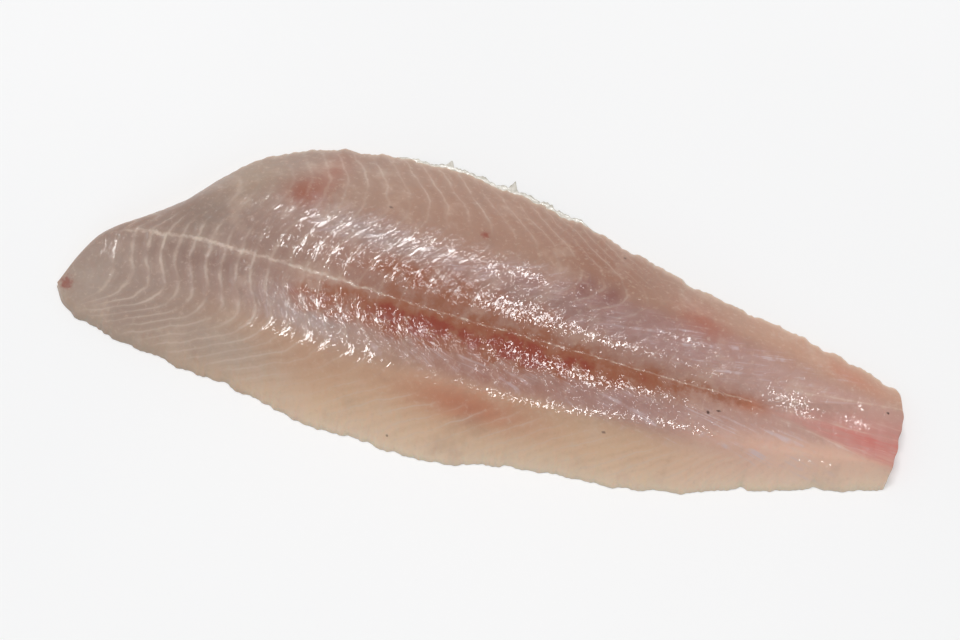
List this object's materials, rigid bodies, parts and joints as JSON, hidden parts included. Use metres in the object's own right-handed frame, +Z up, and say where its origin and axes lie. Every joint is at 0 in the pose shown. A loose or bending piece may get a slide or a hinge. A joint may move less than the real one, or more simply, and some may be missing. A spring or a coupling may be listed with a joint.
{
  "type": "raw fish fillet",
  "caption": "Skinless raw fish fillet lying flat, thick along its middle seam and thin at its edges, with W-shaped muscle bands and a straight-cut tail end.",
  "frame": {"origin": "under the middle of the fillet's footprint, on the flat underside", "axes": "+X along the middle seam towards the tail cut, +Y towards the back edge, +Z up out of the shown face"},
  "size_m": [0.27, 0.0982, 0.0191],
  "materials": {
    "flesh": "wet, faintly see-through pale pink flesh, redder along the middle seam and creamier at the edges"
  },
  "bodies": {
    "root": {"fillet": "flesh"}
  },
  "joints": []
}
